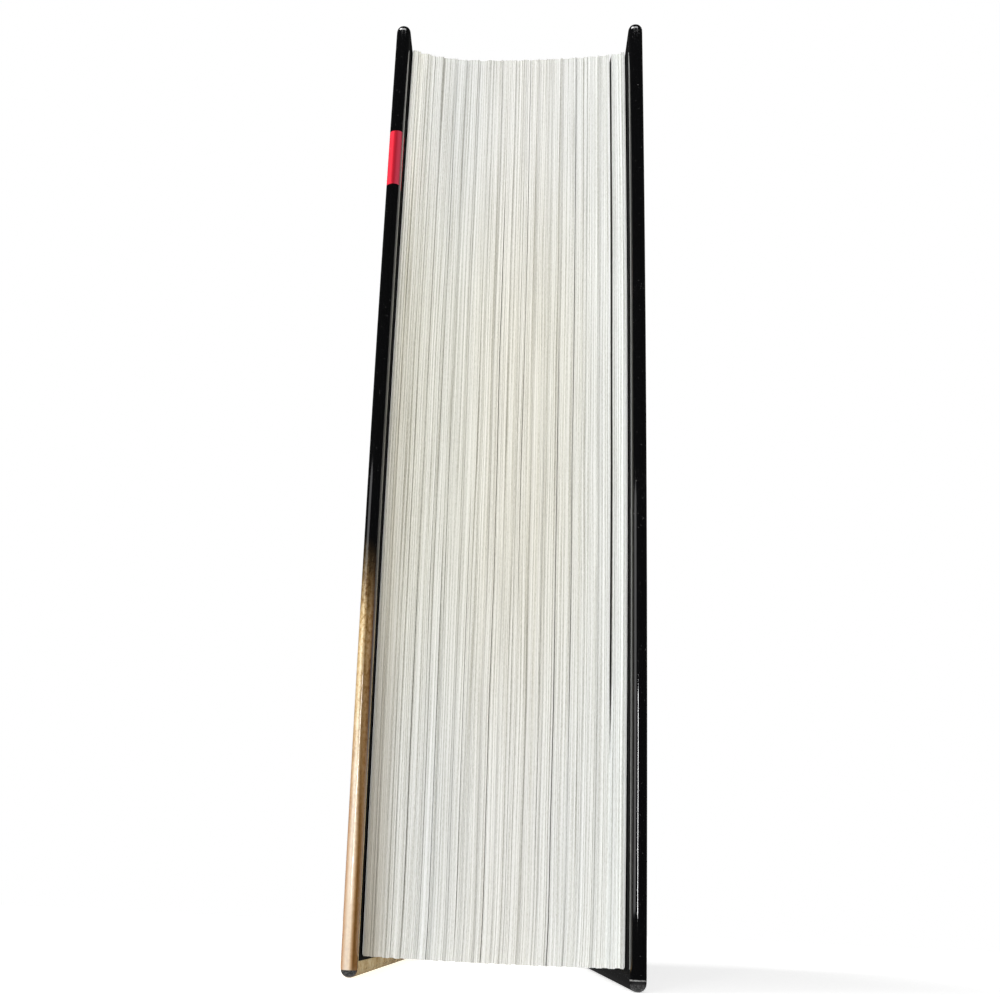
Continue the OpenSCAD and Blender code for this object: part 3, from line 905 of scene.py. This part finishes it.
def dress_solids():
    """Materials of the solids that stay."""
    printed = laminate_material("printed_laminate", True)
    plain = laminate_material("black_laminate", False)
    glued_paper = endpaper_material("pastedown_paper", (0.012, 0.012, 0.012))
    free_paper = endpaper_material("flyleaf_paper", (0.74, 0.74, 0.72))
    band = headband_material()
    kraft = paper_material("kraft_lining", (0.45, 0.32, 0.18), (0.34, 0.23, 0.12))
    gauze = gauze_material()
    grey_board = board_material("grey_board", (0.34, 0.32, 0.29), (0.20, 0.19, 0.17))
    dress("front_covering", printed, smooth=True)
    dress("back_covering", plain, smooth=True)
    dress("spine_covering", plain, smooth=True)
    make_joint("front_joint_strip", "front_joint", -1, printed, glued_paper)
    make_joint("back_joint_strip", "back_joint", 1, plain, glued_paper)
    for side in ("front", "back"):
        dress(f"{side}_flyleaf", free_paper)
        dress(f"{side}_pastedown", glued_paper)
    for node in ("spine_cloth", "front_cloth_flap", "back_cloth_flap"):
        dress(node, gauze)
    for node in ("front_board", "back_board", "spine_inlay"):
        dress(node, grey_board)
    for node in ("head_band", "tail_band"):
        dress(node, band, smooth=True)
    dress("spine_lining", kraft)


def make_camera():
    """The photograph's viewpoint."""
    data = bpy.data.cameras.new("camera")
    data.sensor_width = CAMERA_SENSOR
    data.lens = CAMERA_LENS
    data.shift_x, data.shift_y = CAMERA_SHIFT
    data.clip_start = CAMERA_NEAR * MM
    camera = bpy.data.objects.new("camera", data)
    camera.location = Vector(CAMERA_PLACE) * MM
    camera.rotation_euler = Euler(np.radians(CAMERA_TURN))
    bpy.context.scene.collection.objects.link(camera)
    bpy.context.scene.camera = camera


# The floor's size in metres, and how far it lies below the book.
FLOOR_SIZE = 8.0
FLOOR_DROP = 0.1
# The floor's own glow beside the book, as on a light table, and where it grows to full, in
# metres.
FLOOR_GLOW = 0.7
GLOW_START, GLOW_FULL = 0.25, 1.2
# Strength of the surround as a light. The camera sees it as white.
SURROUND = 0.035
# What the gloss mirrors well below the horizon in place of the floor, and how steeply down.
BELOW = 0.45
BELOW_START, BELOW_FULL = -0.12, -0.6


def make_stage():
    """A pale floor, which the gloss doesn't mirror, and a near-white surround."""
    half = FLOOR_SIZE / 2 / MM
    ways = ((-1, -1), (1, -1), (1, 1), (-1, 1))
    corners = [(half * right, half * back, -FLOOR_DROP) for right, back in ways]
    material, tree, shader = new_material("floor")
    place = place_socket(tree)
    cloud = noise(tree, place, 6.0, 2.0, 0.5)
    shades = ramp(tree, cloud, [(0.3, (0.86, 0.86, 0.855)), (0.7, (0.89, 0.89, 0.885))])
    away = add(tree, "ShaderNodeVectorMath", {0: place}, operation="LENGTH").outputs["Value"]
    glow = fade(tree, away, GLOW_START, GLOW_FULL, FLOOR_GLOW, 1.0)
    connect(tree, shader, Base_Color=shades, Roughness=0.9, Emission_Strength=glow)
    connect(tree, shader, Emission_Color=WHITE)
    floor = mesh_object("floor", corners, [(0, 1, 2, 3)], material)
    floor.visible_glossy = False
    world = bpy.data.worlds.new("surround")
    bpy.context.scene.world = world
    world.use_nodes = True
    tree = world.node_tree
    seen = add(tree, "ShaderNodeLightPath").outputs["Is Camera Ray"]
    background = tree.nodes["Background"]
    upward = split(tree, add(tree, "ShaderNodeTexCoord").outputs["Generated"])[2]
    below = fade(tree, upward, BELOW_FULL, BELOW_START, SURROUND + BELOW, SURROUND)
    strength = calc(tree, "MAXIMUM", seen, below)
    tree.links.new(strength, background.inputs["Strength"])
    background.inputs["Color"].default_value = WHITE


# Lights: name, place and size in metres, power in watts. Each looks at the middle of the book.
LIGHTS = [
    ("overhead", (0.1, -0.95, 1.6), (1.2, 0.5), 10.2),
    ("left_overhead", (-0.75, -0.55, 1.65), (0.8, 0.4), 12.8),
    ("left_window", (-1.12, -0.82, 0.3), (0.8, 0.6), 2.4),
    ("low_lamp", (-0.37, -1.54, 0.165), (0.085, 0.37), 4.6),
]
LIGHT_TARGET = (0.0, -0.03, 0.12)


def make_lights():
    """Soft light from the left and from above."""
    for name, place, (width, height), power in LIGHTS:
        data = bpy.data.lights.new(name, "AREA")
        data.shape = "RECTANGLE"
        data.size = width
        data.size_y = height
        data.energy = power
        light = bpy.data.objects.new(name, data)
        light.location = place
        away = Vector(place) - Vector(LIGHT_TARGET)
        light.rotation_euler = away.to_track_quat("Z", "Y").to_euler()
        bpy.context.scene.collection.objects.link(light)


bpy.context.scene.view_settings.view_transform = "Standard"
make_camera()
make_stage()
make_lights()
make_leaves()
dress_solids()
